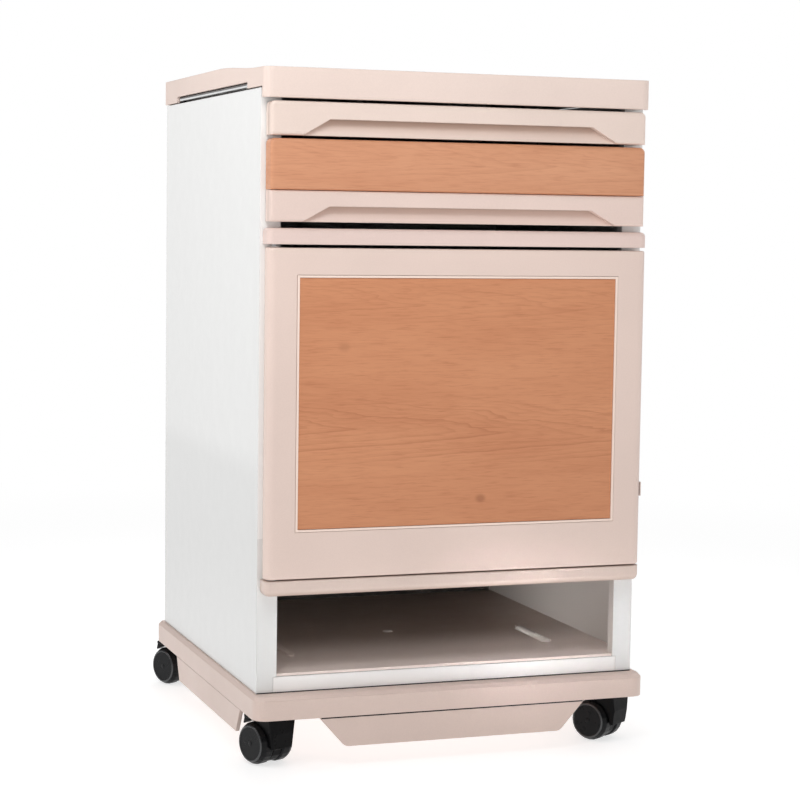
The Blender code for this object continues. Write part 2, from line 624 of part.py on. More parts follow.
def make_caster(name, x, y, swivel):
    """Stem, hood with its axle, two wheels and a brake pedal."""
    axle = (TRAIL, WHEEL_R)
    shell_in, web_out, web_r = 0.0266, 0.0288, 0.0235

    # Web between the wheels, and a deep hood over their front half.
    outline = arc(*axle, web_out, 84, 183, 9) + arc(*axle, web_r, 196, 425, 12)
    hood = slab(f"caster_hood_{name}", outline, "YZ", -0.0058, 0.0058, BLACK)
    profile = [(0.0170, 0.0592), (-0.0130, 0.0592), (-0.0160, 0.0562), (-0.0168, 0.0400),
               (-0.0140, 0.0220)] + arc(*axle, shell_in, 186, 74, 9)
    shell = slab(f"shell_{name}", profile, "YZ", -0.0200, 0.0200, group=CUTTERS)
    body = block(f"body_{name}", (-0.0195, -0.0171, 0.0180), (0.0195, 0.0400, 0.0593),
                 rounds=((along("z"), 0.0045, 3),), group=CUTTERS)
    for vertex in body.data.vertices:
        if vertex.co.z < 0:
            vertex.co.x *= 0.72          # the hood narrows towards the floor
    change(shell, body, "INTERSECT")
    join(hood, shell,
         cylinder(f"axle_{name}", 0.0040, (-0.0205, *axle), (0.0205, *axle), 12, group=CUTTERS))
    bore = cylinder(f"cut_bore_{name}", 0.0043, (0, 0, 0.0480), (0, 0, 0.07), 12, group=CUTTERS)
    slot = block(f"cut_pedal_{name}", (-0.0040, TRAIL + 0.0040, 0.0440), (0.0040, 0.05, 0.07),
                 group=CUTTERS)
    cut(hood, bore, slot)

    # Wheel: flat disc outside, bevelled rim, plain tread; its bore is blind.
    profile = [(0, WHEEL_OUT), (0.0205, WHEEL_OUT), (0.0222, WHEEL_OUT - 0.0004),
               (WHEEL_R - 0.0004, WHEEL_OUT - 0.0045), (WHEEL_R, WHEEL_OUT - 0.0060),
               (WHEEL_R, WHEEL_IN + 0.002), (WHEEL_R - 0.0015, WHEEL_IN), (0.0043, WHEEL_IN),
               (0.0043, WHEEL_OUT - 0.0015), (0, WHEEL_OUT - 0.0015)]
    wheels = [turned(f"caster_wheel_{name}_{end}", profile, 24, BLACK,
                     location=(0, TRAIL, WHEEL_R), rotation=(0, sign * pi / 2, 0))
              for end, sign in (("left", -1), ("right", 1))]

    # Brake pedal: hub in the hood's slot, arm, and a pedal above the wheels.
    hub = (TRAIL + 0.0070, 0.0470)
    arm = arc(*hub, 0.0024, 120, 300, 6) + [(0.0300, 0.0495), (0.0340, 0.0540),
                                            (0.0340, 0.0552), (0.0255, 0.0552)]
    brake = slab(f"caster_brake_{name}", arm, "YZ", -0.0035, 0.0035, BLACK)
    plate = [(0.0246, 0.0520), (0.0355, 0.0530), (0.0360, 0.0562), (0.0330, 0.0575),
             (0.0215, 0.0575)]
    join(brake, slab(f"pedal_{name}", plate, "YZ", -0.0180, 0.0180, group=CUTTERS))

    stem = turned(f"caster_stem_{name}",
                  [(0, 0.0820), (0.0050, 0.0820), (0.0050, 0.0606), (0.0085, 0.0606),
                   (0.0085, 0.0596), (0.0039, 0.0596), (0.0039, 0.0486), (0, 0.0486)],
                  16, STEEL)

    pieces = [hood, *wheels, brake, stem]
    tools = [o for o in CUTTERS.objects if o.name.endswith("_" + name)
             and not o.name.startswith(("boss", "cut_socket"))]
    for piece in pieces + tools:
        place_caster_piece(piece, x, y, swivel)
    swing = pivot(f"pivot_swivel_{name}", (x, y, 0.06))
    turn = radians(swivel)
    centre = (x - TRAIL * sin(turn), y + TRAIL * cos(turn), WHEEL_R)
    spin = pivot(f"pivot_spin_{name}", centre)
    press = pivot(f"pivot_brake_{name}", (x - hub[0] * sin(turn), y + hub[0] * cos(turn), hub[1]))
    hang(swing, hood, spin, press)
    hang(spin, *wheels)
    hang(press, brake)
    for piece in wheels + [stem]:
        smooth(piece)


# --------------------------------------------------------------------- assembly
make_top_cover()
for hand in (-1, 1):
    make_side_panel(hand)
make_back_panel()
make_bottom_front_rail()
make_top_cross_rail()
make_bottom_tray()
make_partition("lower_partition", 0.2100, -0.2200)
make_partition("upper_partition", 0.6160, -0.2200)
lips = [make_lip("lower_lip", LOW_LIP_LOW, LOW_LIP_TOP, (LOW_LIP_LOW, 0.008)),
        make_lip("upper_lip", HIGH_LIP_LOW, HIGH_LIP_TOP, (HIGH_LIP_TOP, 0.005))]
for lip, low in zip(lips, (LOW_LIP_TOP - 0.009, HIGH_LIP_LOW - 0.01)):
    cut(lip, cylinder(f"cut_bush_{lip.name}", 0.0029, (HINGE_X, HINGE_Y, low),
                      (HINGE_X, HINGE_Y, low + 0.019), 12, group=CUTTERS))
make_cabinet_shelf()
make_base()
make_front_skirt()
make_magnet_catch()
for hand in (-1, 1):
    make_side_skirt(hand)
    make_board_guide(hand)
    make_drawer_slide(hand)
    make_rail_guide(hand)

hang(pivot("pivot_board", (0, FRONT_FACE, 0.75)), *make_dining_board())
runners = [make_drawer_runner(hand) for hand in (-1, 1)]
hang(pivot("pivot_drawer", (0, FRONT_FACE, 0.68)), *make_drawer(), *runners)
hang(pivot("pivot_door", (HINGE_X, HINGE_Y, (DOOR_LOW + DOOR_TOP) / 2)), *make_door())
for hand, label in ((-1, "left"), (1, "right")):
    hang(pivot(f"pivot_towel_{label}", (hand * 0.2372, 0, 0.7905)), make_towel_rail(hand))
for caster in CASTERS:
    make_caster(*caster)
for obj in list(PARTS.objects) + list(CUTTERS.objects):
    if obj.parent is None:
        obj.location.y += SHIFT_Y
bpy.context.view_layer.update()
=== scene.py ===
import json
from math import cos, pi, radians, sin

import bmesh
import bpy
from mathutils import Matrix, Vector


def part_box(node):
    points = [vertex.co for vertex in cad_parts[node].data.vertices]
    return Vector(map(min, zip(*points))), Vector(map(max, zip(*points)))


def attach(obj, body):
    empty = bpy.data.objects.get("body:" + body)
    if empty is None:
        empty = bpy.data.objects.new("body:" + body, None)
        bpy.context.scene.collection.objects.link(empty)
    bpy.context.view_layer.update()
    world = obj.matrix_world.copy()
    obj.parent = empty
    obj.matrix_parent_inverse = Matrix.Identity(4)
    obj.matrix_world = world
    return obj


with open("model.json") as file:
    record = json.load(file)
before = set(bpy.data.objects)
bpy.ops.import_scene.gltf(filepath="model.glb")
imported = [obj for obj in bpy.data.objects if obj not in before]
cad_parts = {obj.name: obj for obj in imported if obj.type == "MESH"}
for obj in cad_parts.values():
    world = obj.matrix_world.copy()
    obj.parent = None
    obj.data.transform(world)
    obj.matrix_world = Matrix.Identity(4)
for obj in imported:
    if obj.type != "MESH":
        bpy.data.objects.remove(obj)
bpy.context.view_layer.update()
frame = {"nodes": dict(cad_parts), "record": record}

BOX = {name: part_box(name) for name in frame["nodes"]}
JOINTS = {joint["name"]: joint for joint in frame["record"]["behaviour"]["joints"]}
CASTERS = ("front_left", "front_right", "rear_left", "rear_right")
SIDES = (("left", -1), ("right", 1))
X, Y, Z = 0, 1, 2
FORWARD, BACKWARD = (0, -1, 0), (0, 1, 0)

# ---------------------------------------------------------------- camera
CAMERA_AT = Vector((-0.88956, -2.55649, 0.63769))
YAW, PITCH, ROLL = radians(19.58), radians(4.88), radians(0.81)
LENS, SENSOR = 94.6, 36.0    # mm


def place_camera():
    """A long lens a little left of the front, looking slightly down."""
    forward = Vector((sin(YAW) * cos(PITCH), cos(YAW) * cos(PITCH), -sin(PITCH)))
    level = Vector((cos(YAW), -sin(YAW), 0.0))
    upright = level.cross(forward)
    right = cos(ROLL) * level + sin(ROLL) * upright
    up = -sin(ROLL) * level + cos(ROLL) * upright
    data = bpy.data.cameras.new("camera")
    data.lens = LENS
    data.sensor_width = SENSOR
    data.clip_start, data.clip_end = 0.05, 200.0
    camera = bpy.data.objects.new("camera", data)
    turn = Matrix((right, up, -forward)).transposed()
    camera.matrix_world = Matrix.Translation(CAMERA_AT) @ turn.to_4x4()
    bpy.context.scene.collection.objects.link(camera)
    bpy.context.scene.camera = camera


# ---------------------------------------------------------------- node helpers
class Shader:
    """A Principled material with small helpers for its node network."""

    def __init__(self, name, roughness=0.4, metallic=0.0, **sockets):
        self.material = bpy.data.materials.new(name)
        self.material.use_nodes = True
        self.tree = self.material.node_tree
        self.main = self.tree.nodes["Principled BSDF"]
        self.main.inputs["Roughness"].default_value = roughness
        self.main.inputs["Metallic"].default_value = metallic
        for socket, value in sockets.items():
            self.main.inputs[socket.replace("_", " ")].default_value = value
        self.place = self.new("ShaderNodeTexCoord").outputs["Object"]

    def new(self, kind, **settings):
        node = self.tree.nodes.new(kind)
        for key, value in settings.items():
            setattr(node, key, value)
        return node

    def put(self, socket, value):
        """Link a socket to an output, or set its constant."""
        if isinstance(value, bpy.types.NodeSocket):
            self.tree.links.new(value, socket)
        else:
            socket.default_value = value

    def stretch(self, scale, move=(0, 0, 0)):
        node = self.new("ShaderNodeMapping")
        self.put(node.inputs["Vector"], self.place)
        node.inputs["Scale"].default_value = scale
        node.inputs["Location"].default_value = move
        return node.outputs["Vector"]

    def noise(self, scale, detail=2.0, rough=0.5, source=None, distort=0.0):
        node = self.new("ShaderNodeTexNoise")
        self.put(node.inputs["Vector"], source or self.place)
        node.inputs["Scale"].default_value = scale
        node.inputs["Detail"].default_value = detail
        node.inputs["Roughness"].default_value = rough
        node.inputs["Distortion"].default_value = distort
        return node.outputs["Fac"]

    def math(self, operation, a, b=0.0):
        node = self.new("ShaderNodeMath", operation=operation)
        for socket, value in zip(node.inputs, (a, b)):
            self.put(socket, value)
        return node.outputs[0]

    def spread(self, value, low, high, to_low=0.0, to_high=1.0, smooth=False):
        """A value's range from low to high, mapped to another range and clamped."""
        node = self.new("ShaderNodeMapRange")
        node.interpolation_type = "SMOOTHSTEP" if smooth else "LINEAR"
        for key, number in (("Value", value), ("From Min", low), ("From Max", high),
                            ("To Min", to_low), ("To Max", to_high)):
            self.put(node.inputs[key], number)
        return node.outputs["Result"]

    def mix(self, factor, a, b, blend="MIX"):
        node = self.new("ShaderNodeMix", data_type="RGBA", blend_type=blend)
        self.put(node.inputs["Factor"], factor)
        for key, value in (("A", a), ("B", b)):
            socket = [s for s in node.inputs if s.name == key and s.type == "RGBA"][0]
            self.put(socket, value if isinstance(value, bpy.types.NodeSocket) else (*value, 1.0))
        return [s for s in node.outputs if s.type == "RGBA"][0]

    def split(self, source=None):
        node = self.new("ShaderNodeSeparateXYZ")
        self.put(node.inputs[0], source or self.place)
        return node.outputs

    def bump(self, height, strength, distance=0.0005, under=None):
        node = self.new("ShaderNodeBump")
        node.inputs["Strength"].default_value = strength
        node.inputs["Distance"].default_value = distance
        self.put(node.inputs["Height"], height)
        if under is not None:
            self.put(node.inputs["Normal"], under)
        return node.outputs["Normal"]

    def soft_edges(self, radius):
        """A surface normal that rounds sharp edges as the light sees them."""
        node = self.new("ShaderNodeBevel", samples=6)
        node.inputs["Radius"].default_value = radius
        return node.outputs["Normal"]

    def finish(self, colour, roughness, normal):
        for key, output in (("Base Color", colour), ("Roughness", roughness), ("Normal", normal)):
            self.put(self.main.inputs[key], output)
        return self.material


def toned(colour, share):
    """A colour times one factor, or times a factor for each of its channels."""
    shares = share if isinstance(share, tuple) else (share,) * 3
    return tuple(min(1.0, c * k) for c, k in zip(colour, shares))


# ---------------------------------------------------------------- materials
# noise scales, in waves per metre
MOULD_DRIFT, MOULD_SINK, MOULD_POLISH, SPARK_GRAIN = 5.0, 14.0, 26.0, 700.0
PAINT_CLOUD, SHEET_WAVE, PAINT_POLISH, ORANGE_PEEL = 3.5, 9.0, 40.0, 320.0
# noise in the painted shade on the back's inner face
SHADE_NOISE, SHADE_POLISH = 220.0, 60.0
CASTER_CLOUD, CASTER_POLISH, CASTER_GRAIN = 60.0, 120.0, 900.0

RECESS_SHADE_START = 0.0036        # a hollow's painted shade starts this far behind the front face
FACES_SIDEWAYS = 0.12        # m: x times the normal's x, on a face turned to its own side
# painted pink bounce light from the tray, on inner faces low down
PINK_BOUNCE = (0.96, 0.88, 0.84)


def moulded_plastic(name, colour, roughness=0.40, drift=0.05, recess=None, edge=0.0011,
                    fade=None, shine=0.45):
    """Moulded ABS: fine spark-eroded grain, slow drift in tone, faint polish.

    recess is (y of the front face, depth, tone): painted shade, hollows in the front are painted
    darker.
    fade is (axis, start, end, tone): the colour turns to that share from start to end, painted
    shade or a painted highlight.
    """
    s = Shader(name, Specular_IOR_Level=shine)
    slow = s.noise(MOULD_DRIFT, detail=3.0, rough=0.55)
    fine = s.noise(SPARK_GRAIN, rough=0.6)
    tone = s.mix(s.spread(slow, 0.3, 0.7), toned(colour, 1 - drift),
                 toned(colour, 1 + drift * 0.6))
    speck = s.spread(fine, 0.2, 0.8, 0.965, 1.02)
    # painted shade: the colour darkens deeper in a hollow behind the front face
    if recess:
        face, depth, share = recess
        along = s.split()[Y]
        deep = s.math("POWER", s.spread(along, face + RECESS_SHADE_START, face + depth), 1.6)
        deep = s.math("MULTIPLY", deep, s.math("LESS_THAN", along, face + depth + 0.0003))
        tone = s.mix(deep, tone, toned(colour, share))
    # painted shade or painted highlight: the colour turns towards a share along one axis
    if fade:
        axis, start, end, share = fade
        faded = s.spread(s.split()[axis], start, end, smooth=True)
        tone = s.mix(faded, tone, toned(colour, share))
    grain = s.new("ShaderNodeVectorMath", operation="SCALE")
    s.put(grain.inputs[0], tone)
    s.put(grain.inputs["Scale"], speck)
    polish = s.noise(MOULD_POLISH, detail=4.0, rough=0.65)
    rough = s.spread(polish, 0.25, 0.75, roughness - 0.06, roughness + 0.07)
    normal = s.bump(fine, 0.10, 0.0002, s.soft_edges(edge))
    normal = s.bump(s.noise(MOULD_SINK, detail=1.0), 0.05, 0.002, normal)
    return s.finish(grain.outputs[0], rough, normal)


def powder_coat(name, colour, roughness=0.2, painted_light=None):
    """Glossy white sheet paint with a slight orange peel.

    painted_light is (z, tone, fold_highlight): painted shade makes outer side faces
    that much darker below a soft line, a painted highlight makes the folded front edge
    above it lighter against the door's shade, and painted pink bounce light from the
    tray makes inner faces lower down pinker and a little darker.
    """
    s = Shader(name, Specular_IOR_Level=0.5, Coat_Weight=0.3, Coat_Roughness=0.08)
    cloud = s.spread(s.noise(PAINT_CLOUD, detail=3.0), 0.3, 0.7)
    tone = s.mix(cloud, toned(colour, 0.988), colour)
    if painted_light:
        level, shade, fold_highlight = painted_light
        across, _, height = s.split()
        facing = s.split(s.new("ShaderNodeNewGeometry").outputs["Normal"])
        outward = s.math("MULTIPLY", facing[X], across)
        # painted shade on outer faces below the soft line
        low = s.spread(height, level - 0.030, level + 0.016, 1.0, 0.0, smooth=True)
        low = s.math("MULTIPLY", low, s.math("GREATER_THAN", outward, FACES_SIDEWAYS))
        tone = s.mix(low, tone, toned(colour, shade))
        # painted highlight on the front edge, against the door's shade
        front = s.math("MULTIPLY", s.spread(facing[Y], -0.95, -0.30, 1.0, 0.0),
                       s.math("GREATER_THAN", height, level - 0.09))
        tone = s.mix(front, tone, toned(colour, fold_highlight))
        # painted pink bounce light from the tray on inner faces low down
        bounce_mask = s.math("MULTIPLY", s.math("LESS_THAN", outward, -FACES_SIDEWAYS),
                        s.math("LESS_THAN", height, level - 0.14))
        tone = s.mix(bounce_mask, tone, toned(colour, PINK_BOUNCE))
    polish = s.noise(PAINT_POLISH, detail=4.0, rough=0.6)
    rough = s.spread(polish, 0.25, 0.75, roughness - 0.04, roughness + 0.07)
    normal = s.bump(s.noise(ORANGE_PEEL), 0.035, 0.0004, s.soft_edges(0.0009))
    normal = s.bump(s.noise(SHEET_WAVE, detail=1.0), 0.012, 0.003, normal)
    return s.finish(tone, rough, normal)


def painted_shade_inside(name, colour, inner, y_face, z_top):
    """White sheet whose inner face is painted dark up to one height: painted shade inside the
    compartment, mottled by noise.
    """
    s = Shader(name, Specular_IOR_Level=0.4)
    _, y, z = s.split()
    cloud = s.spread(s.noise(PAINT_CLOUD, detail=3.0), 0.3, 0.7)
    tone = s.mix(cloud, toned(colour, 0.975), colour)
    shade_tone = s.mix(s.spread(s.noise(SHADE_NOISE, detail=3.0), 0.3, 0.7), toned(inner, 0.8), inner)
    inside = s.math("MULTIPLY", s.math("LESS_THAN", y, y_face), s.math("LESS_THAN", z, z_top))
    rough = s.spread(s.noise(SHADE_POLISH, detail=3.0), 0.3, 0.7, 0.28, 0.45)
    return s.finish(s.mix(inside, tone, shade_tone), rough, s.bump(s.noise(ORANGE_PEEL), 0.05, 0.0004))


WOOD_LIGHT = (0.680, 0.322, 0.172)
WOOD_MID = (0.600, 0.262, 0.134)
WOOD_DARK = (0.425, 0.150, 0.066)
WOOD_PORE = (0.330, 0.110, 0.048)
WOOD_KNOT = (0.270, 0.092, 0.040)
# noise scales along X, Y and Z, in waves per metre
WOOD_WANDER, WOOD_BANDS = (9.0, 1.0, 42.0), (3.0, 8.0, 16.0)
WOOD_GRAIN, WOOD_STREAK = (16.0, 60.0, 210.0), (36.0, 90.0, 520.0)
WOOD_PORES = (60.0, 300.0, 1300.0)
V_SLOPE = 0.095              # how steeply the figure's branches leave their apex
V_FALL = 0.036               # how much its axis drops towards the right
V_ROUNDING = 0.0000060       # m2: how blunt the apex is
V_STEP, V_GROUP = 0.064, 0.193   # m: from line to line, and from dark line to dark line
V_WANDER_Z, V_WANDER_X = 0.010, 0.055    # m: how far the lines stray up and along
KNOT_ASPECT = 0.8            # a knot's height as a share of its length along the grain


def figure(s, x, z, level, phase, reach, wander):
    """Thin dark V lines, nested along X, that point to the right at one height."""
    across = s.math("ADD", s.math("SUBTRACT", z, level), s.math("MULTIPLY", wander, V_WANDER_Z))
    across = s.math("ADD", across, s.math("MULTIPLY", x, V_FALL))
    blunt = s.math("SQRT", s.math("ADD", s.math("MULTIPLY", across, across), V_ROUNDING))
    run = s.math("ADD", s.math("ADD", x, phase), s.math("MULTIPLY", blunt, 1 / V_SLOPE))
    run = s.math("ADD", run, s.math("MULTIPLY", wander, V_WANDER_X))
    # along X each line darkens slowly and ends sharply
    ring = s.math("FRACT", s.math("MULTIPLY", run, 1 / V_STEP))
    line = s.math("MULTIPLY", s.math("POWER", ring, 3.5),
                  s.math("SUBTRACT", 1.0, s.math("POWER", ring, 14.0)))
    group = s.math("FRACT", s.math("MULTIPLY", run, 1 / V_GROUP))
    strength = s.spread(s.math("POWER", group, 2.0), 0.0, 1.0, 0.25, 1.0)
    near = s.spread(s.math("ABSOLUTE", across), reach * 0.45, reach, 1.0, 0.0, smooth=True)
    return s.math("MULTIPLY", s.math("MULTIPLY", line, strength), near)


def beech_laminate(name, figures=(), knots=(), tint=(1.0, 1.0, 1.0)):
    """Printed beech foil: long grain along X, V figures, pores and knots.

    figures are (height, phase along X, reach above and below, depth of tone).
    knots are (x, z, radius, depth of tone).
    """
    s = Shader(name, Specular_IOR_Level=0.4)
    x, _, z = s.split()
    wander = s.spread(s.noise(1.0, 3.0, 0.6, s.stretch(WOOD_WANDER)), 0.0, 1.0, -1.0, 1.0)
    bands = s.noise(1.0, 3.0, 0.6, s.stretch(WOOD_BANDS))
    grain = s.noise(1.0, 4.0, 0.62, s.stretch(WOOD_GRAIN), 0.4)
    streak = s.noise(1.0, 2.0, 0.5, s.stretch(WOOD_STREAK, (3.1, 0.0, 1.7)), 0.3)
    pores = s.noise(1.0, 2.0, 0.5, s.stretch(WOOD_PORES))
    tone = s.mix(s.spread(bands, 0.30, 0.70), WOOD_MID, WOOD_LIGHT)
    tone = s.mix(s.spread(grain, 0.48, 0.74, 0.0, 0.20), tone, WOOD_DARK)
    tone = s.mix(s.spread(streak, 0.54, 0.74, 0.0, 0.36), tone, WOOD_DARK)
    tone = s.mix(s.spread(streak, 0.26, 0.44, 0.42, 0.0), tone, WOOD_LIGHT)
    for level, phase, reach, depth in figures:
        line = figure(s, x, z, level, phase, reach, wander)
        tone = s.mix(s.math("MULTIPLY", line, depth), tone, WOOD_DARK)
    tone = s.mix(s.spread(pores, 0.60, 0.78, 0.0, 0.26), tone, WOOD_PORE)
    for knot_x, knot_z, radius, depth in knots:
        dx = s.math("MULTIPLY", s.math("SUBTRACT", x, knot_x), KNOT_ASPECT)
        dz = s.math("SUBTRACT", z, knot_z)
        far = s.math("SQRT", s.math("ADD", s.math("MULTIPLY", dx, dx), s.math("MULTIPLY", dz, dz)))
        eye = s.spread(far, radius * 0.25, radius, depth, 0.0, smooth=True)
        tone = s.mix(eye, tone, WOOD_KNOT)
    tone = s.mix(1.0, tone, tint, "MULTIPLY")
    rough = s.spread(grain, 0.3, 0.7, 0.40, 0.52)
    normal = s.bump(s.math("ADD", grain, s.math("MULTIPLY", pores, 0.6)), 0.10, 0.0002)
    return s.finish(tone, rough, normal)


def caster_plastic(name, colour=(0.0055, 0.0057, 0.0064), roughness=0.30, shine=0.14):
    """Black nylon with a fine grain and uneven polish."""
    s = Shader(name, Specular_IOR_Level=shine)
    cloud = s.spread(s.noise(CASTER_CLOUD, detail=3.0), 0.3, 0.7)
    tone = s.mix(cloud, colour, toned(colour, 1.7))
    polish = s.noise(CASTER_POLISH, detail=3.0)
    rough = s.spread(polish, 0.3, 0.7, roughness - 0.07, roughness + 0.10)
    grain = s.noise(CASTER_GRAIN, rough=0.6)
    return s.finish(tone, rough, s.bump(grain, 0.12, 0.0002, s.soft_edges(0.0009)))


def drawn_steel(name, along, colour=(0.36, 0.36, 0.37), roughness=0.28):
    """Bare metal with fine drawing lines; along is their noise scale in X, Y and Z."""
    s = Shader(name, metallic=1.0)
    lines = s.noise(1.0, 3.0, 0.6, s.stretch(along))
    tone = s.mix(s.spread(lines, 0.3, 0.7), toned(colour, 0.8), colour)
    rough = s.spread(lines, 0.3, 0.7, roughness - 0.06, roughness + 0.10)
    return s.finish(tone, rough, s.bump(lines, 0.06, 0.0002))


PINK_RGB, WHITE_RGB = (0.815, 0.665, 0.590), (0.80, 0.80, 0.79)
# painted shade for the back's inner face in the compartment
INNER_SHADE_RGB = (0.060, 0.050, 0.038)
# noise scales of drawn metal along X, Y and Z
LINES_ALONG_X, LINES_ALONG_Y = (40.0, 900.0, 900.0), (900.0, 40.0, 900.0)
EVEN_GRAIN = (500.0, 500.0, 500.0)
SIDE_SHADE_Z = 0.36           # painted shade: the side panels' outer faces are darker below this height
TRAY_SHADE_Y = (-0.165, -0.04)    # painted shade: the tray's floor gets darker between these
SCOOP_SHADE_DEPTH = 0.012          # how far behind the front faces a finger scoop's painted shade is full
FRONT_FACE = BOX["drawer_face"][0].y
DOOR_RIGHT, LIP_BOTTOM = BOX["door_frame"][1].x, BOX["lower_lip"][0].z
BASE_TOP = BOX["base_frame"][1].z

PINK = moulded_plastic("pink_abs_look", PINK_RGB)
WHITE = powder_coat("white_gloss_look", WHITE_RGB)
WHITE_PLASTIC = moulded_plastic("white_plastic_look", (0.74, 0.73, 0.71), 0.45, 0.03)
DOOR_WOOD = beech_laminate("door_beech_look",
                           figures=((0.3915, 0.107, 0.050, 0.85), (0.540, 0.010, 0.030, 0.50)),
                           knots=((-0.143, 0.492, 0.0080, 0.22), (0.028, 0.312, 0.0072, 0.46)),
                           tint=(1.012, 0.945, 0.890))
DRAWER_WOOD = beech_laminate("drawer_beech_look", figures=((0.705, 0.060, 0.030, 0.40),),
                             tint=(1.030, 1.058, 1.125))
# painted shade: the door frame darkens towards its rounded right edge
DOOR_PINK = moulded_plastic("door_pink_look", (0.832, 0.660, 0.586),
                            fade=(X, DOOR_RIGHT - 0.0050, DOOR_RIGHT - 0.0010,
                                  (0.87, 0.885, 0.915)))
TOP_PINK = moulded_plastic("top_pink_look", (0.818, 0.670, 0.602), 0.50, shine=0.30)
# painted light: lighter than the pink, against the door's shadow on the pull
PULL_PINK = moulded_plastic("pull_pink_look", (0.90, 0.80, 0.75))
# painted shade: a darker copy of the pink, darker still towards the lip's bottom edge
LOWER_LIP_PINK = moulded_plastic("lower_lip_look", (0.742, 0.595, 0.527), edge=0.0030,
                                 fade=(Z, LIP_BOTTOM + 0.0070, LIP_BOTTOM, (0.80, 0.76, 0.74)))
# painted highlight: lighter than the tray, on the tray's stop and stud
STOP_PINK = moulded_plastic("tray_stop_look", (0.98, 0.90, 0.86), 0.25)
# painted shade: a darker copy of the pink for the base and skirts; its fade is a painted highlight
# on the top bevel
BASE_PINK = moulded_plastic("base_pink_look", (0.735, 0.580, 0.515),
                            fade=(Z, BASE_TOP - 0.0050, BASE_TOP - 0.0035, (1.12, 1.13, 1.14)))
# painted light: whiter than the sheet, against the lips' shade on the rail
RAIL_WHITE = powder_coat("rail_white_look", (0.96, 0.94, 0.925))
# painted shade low on the outer sides, a painted highlight on the front edges and painted pink
# bounce light inside; the left side gets more painted shade
LEFT_WHITE = powder_coat("left_white_look", WHITE_RGB, painted_light=(SIDE_SHADE_Z, 0.885, 1.14))
RIGHT_WHITE = powder_coat("right_white_look", WHITE_RGB, painted_light=(SIDE_SHADE_Z, 0.97, 1.14))
# painted light: a lighter copy of the pink; its fade is painted shade, darker towards the back
TRAY_PINK = moulded_plastic("tray_pink_look", (0.95, 0.82, 0.76),
                            fade=(Y, *TRAY_SHADE_Y, (0.48, 0.435, 0.40)))
# painted shade in the finger scoops of the board and the drawer
SCOOP_PINK = moulded_plastic("scoop_pink_look", PINK_RGB,
                             recess=(FRONT_FACE, SCOOP_SHADE_DEPTH, (0.63, 0.55, 0.50)))
HANDLE_PINK = moulded_plastic("handle_pink_look", (0.813, 0.638, 0.570),
                              recess=(FRONT_FACE, SCOOP_SHADE_DEPTH, (0.78, 0.76, 0.73)))
LIP_PINK = moulded_plastic("lip_pink_look", (0.813, 0.636, 0.578))
# painted shade: the back's inner face is dark inside the compartment
BACK_WHITE = painted_shade_inside("back_sheet_look", WHITE_RGB, INNER_SHADE_RGB,
                         BOX["back_panel"][1].y - 0.0010, BOX["lower_partition"][1].z)
# the raised rims are real; their lighter grey is a painted highlight
RIM_HIGHLIGHT_GREY = caster_plastic("caster_rim_look", (0.029, 0.030, 0.032), 0.20, 0.6)
HOOD_BLACK = caster_plastic("caster_hood_look", (0.0030, 0.0030, 0.0033), 0.32, 0.07)
GUIDE_GREY = moulded_plastic("rail_guide_look", (0.30, 0.29, 0.285), 0.4, 0.03)
BRIGHT_STEEL = drawn_steel("towel_rail_look", LINES_ALONG_Y, (0.80, 0.80, 0.80), 0.22)
# painted shadow for the gaps at the base moulding
GAP_SHADE = caster_plastic("gap_shade_look", (0.012, 0.010, 0.009), 0.6, 0.2)
BEAD = moulded_plastic("bead_look", (0.98, 0.79, 0.69), 0.35, 0.03, edge=0.0003)
BLACK = caster_plastic("caster_plastic_look")
STEEL = drawn_steel("steel_look", LINES_ALONG_Y)
ZINC = drawn_steel("zinc_look", LINES_ALONG_X, (0.50, 0.50, 0.50), 0.34)
FIXING_ZINC = drawn_steel("fixing_look", EVEN_GRAIN, (0.46, 0.46, 0.45), 0.36)
GREY = moulded_plastic("catch_look", (0.42, 0.42, 0.43), 0.45, 0.04)

SLOT_LOOKS = {"pink_abs": PINK, "white_gloss": WHITE, "white_plastic": WHITE_PLASTIC,
              "beech_laminate": DRAWER_WOOD, "pale_bead": BEAD, "black_plastic": BLACK,
              "steel": STEEL, "catch_plastic": GREY}
NODE_LOOKS = {"door_wood_panel": DOOR_WOOD, "door_frame": DOOR_PINK, "door_pull": PULL_PINK,
              "top_cover": TOP_PINK, "upper_lip": LIP_PINK, "lower_lip": LOWER_LIP_PINK,
              "base_frame": BASE_PINK, "front_skirt": BASE_PINK,
              "bottom_front_rail": RAIL_WHITE, "bottom_tray": TRAY_PINK,
              "back_panel": BACK_WHITE, "left_side_panel": LEFT_WHITE,
              "right_side_panel": RIGHT_WHITE, "dining_board_front": SCOOP_PINK,
              "drawer_handle_strip": HANDLE_PINK}
for side, _ in SIDES:
    NODE_LOOKS[f"{side}_skirt"] = BASE_PINK
    NODE_LOOKS[f"rail_guide_{side}"] = GUIDE_GREY
    NODE_LOOKS[f"towel_rail_{side}"] = BRIGHT_STEEL
    NODE_LOOKS[f"drawer_slide_{side}"] = ZINC
    NODE_LOOKS[f"drawer_runner_{side}"] = ZINC
for name in CASTERS:
    NODE_LOOKS[f"caster_hood_{name}"] = HOOD_BLACK

slots = {part["node"]: part["material_slot"] for part in frame["record"]["subparts"]}
for name, node in frame["nodes"].items():
    node.data.materials.clear()
    node.data.materials.append(NODE_LOOKS.get(name) or SLOT_LOOKS[slots[name]])


# ---------------------------------------------------------------- mesh helpers
def piece(name, mesh, look, body, at=(0, 0, 0), facing=None):
    """Link a detail piece, turn its own Z to a direction, and let it ride on a body."""
    obj = bpy.data.objects.new(name, mesh)
    obj.location = at
    if facing is not None:
        obj.rotation_euler = Vector(facing).to_track_quat("Z", "Y").to_euler()
    bpy.context.scene.collection.objects.link(obj)
    if not mesh.materials:
        mesh.materials.append(look)
    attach(obj, body)


